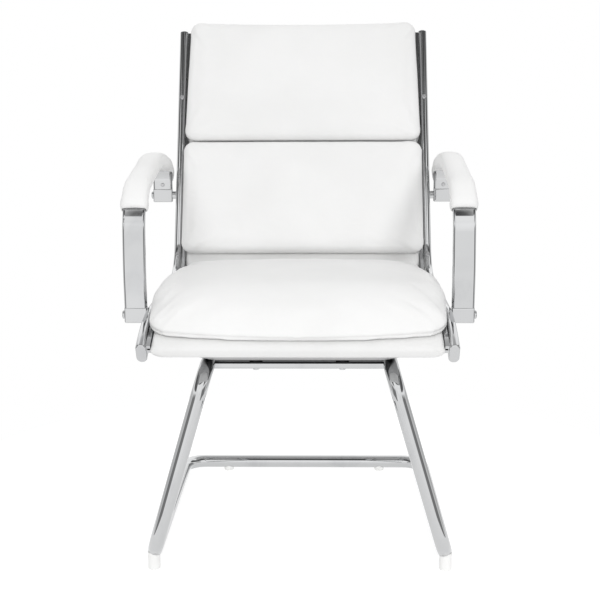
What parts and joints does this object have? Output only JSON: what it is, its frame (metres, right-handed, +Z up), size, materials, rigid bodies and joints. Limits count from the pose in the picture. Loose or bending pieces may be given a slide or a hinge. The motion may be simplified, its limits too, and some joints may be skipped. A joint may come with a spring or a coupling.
{
  "type": "visitor chair",
  "caption": "Cantilever visitor chair with padded white seat and back pads on a sling between bright side rails, looped padded arms and a bent tube floor frame.",
  "frame": {"origin": "on the floor, in the middle of the chair's plan box", "axes": "+Z up, +Y to the rear, so the sitter faces -Y; +X is to the right as seen from the front"},
  "size_m": [0.6082, 0.6912, 0.922],
  "materials": {
    "chrome": "bright polished chrome plate",
    "screw_steel": "zinc plated steel",
    "spreader_paint": "light grey satin paint",
    "leatherette": "white soft matt leatherette",
    "sling_leatherette": "white smooth leatherette over thin foam",
    "pan_board": "grey moulded dish",
    "black_rubber": "black rubber",
    "glide_plastic": "white nylon"
  },
  "bodies": {
    "root": {"side_rail_left": "chrome", "side_rail_right": "chrome", "rail_front_cap_left": "chrome", "rail_front_cap_right": "chrome", "rail_top_cap_left": "chrome", "rail_top_cap_right": "chrome", "base_tube_left": "chrome", "base_tube_right": "chrome", "rear_cross_tube": "chrome", "front_cross_bar": "chrome", "rear_cross_bar": "chrome", "arm_bar_left": "chrome", "arm_bar_right": "chrome", "arm_bolt_caps": "chrome", "arm_spacers": "chrome", "seat_bolts": "chrome", "back_rail_screws": "screw_steel", "seat_rail_screws": "screw_steel", "pan_bolts": "screw_steel", "arm_bolts": "screw_steel", "arm_sleeve_screws": "screw_steel", "front_foot_screws": "screw_steel", "rear_glide_screws": "screw_steel", "seat_front_spreader": "spreader_paint", "seat_rear_spreader": "spreader_paint", "back_lower_spreader": "spreader_paint", "back_upper_spreader": "spreader_paint", "seat_cushion": "leatherette", "lower_back_cushion": "leatherette", "upper_back_cushion": "leatherette", "arm_sleeve_left": "leatherette", "arm_sleeve_right": "leatherette", "seat_sling": "sling_leatherette", "back_sling": "sling_leatherette", "seat_pan": "pan_board", "seat_buffers": "black_rubber", "seat_tube_plugs": "black_rubber", "front_foot_left": "glide_plastic", "front_foot_right": "glide_plastic", "rear_glide_left": "glide_plastic", "rear_glide_right": "glide_plastic"}
  },
  "joints": []
}
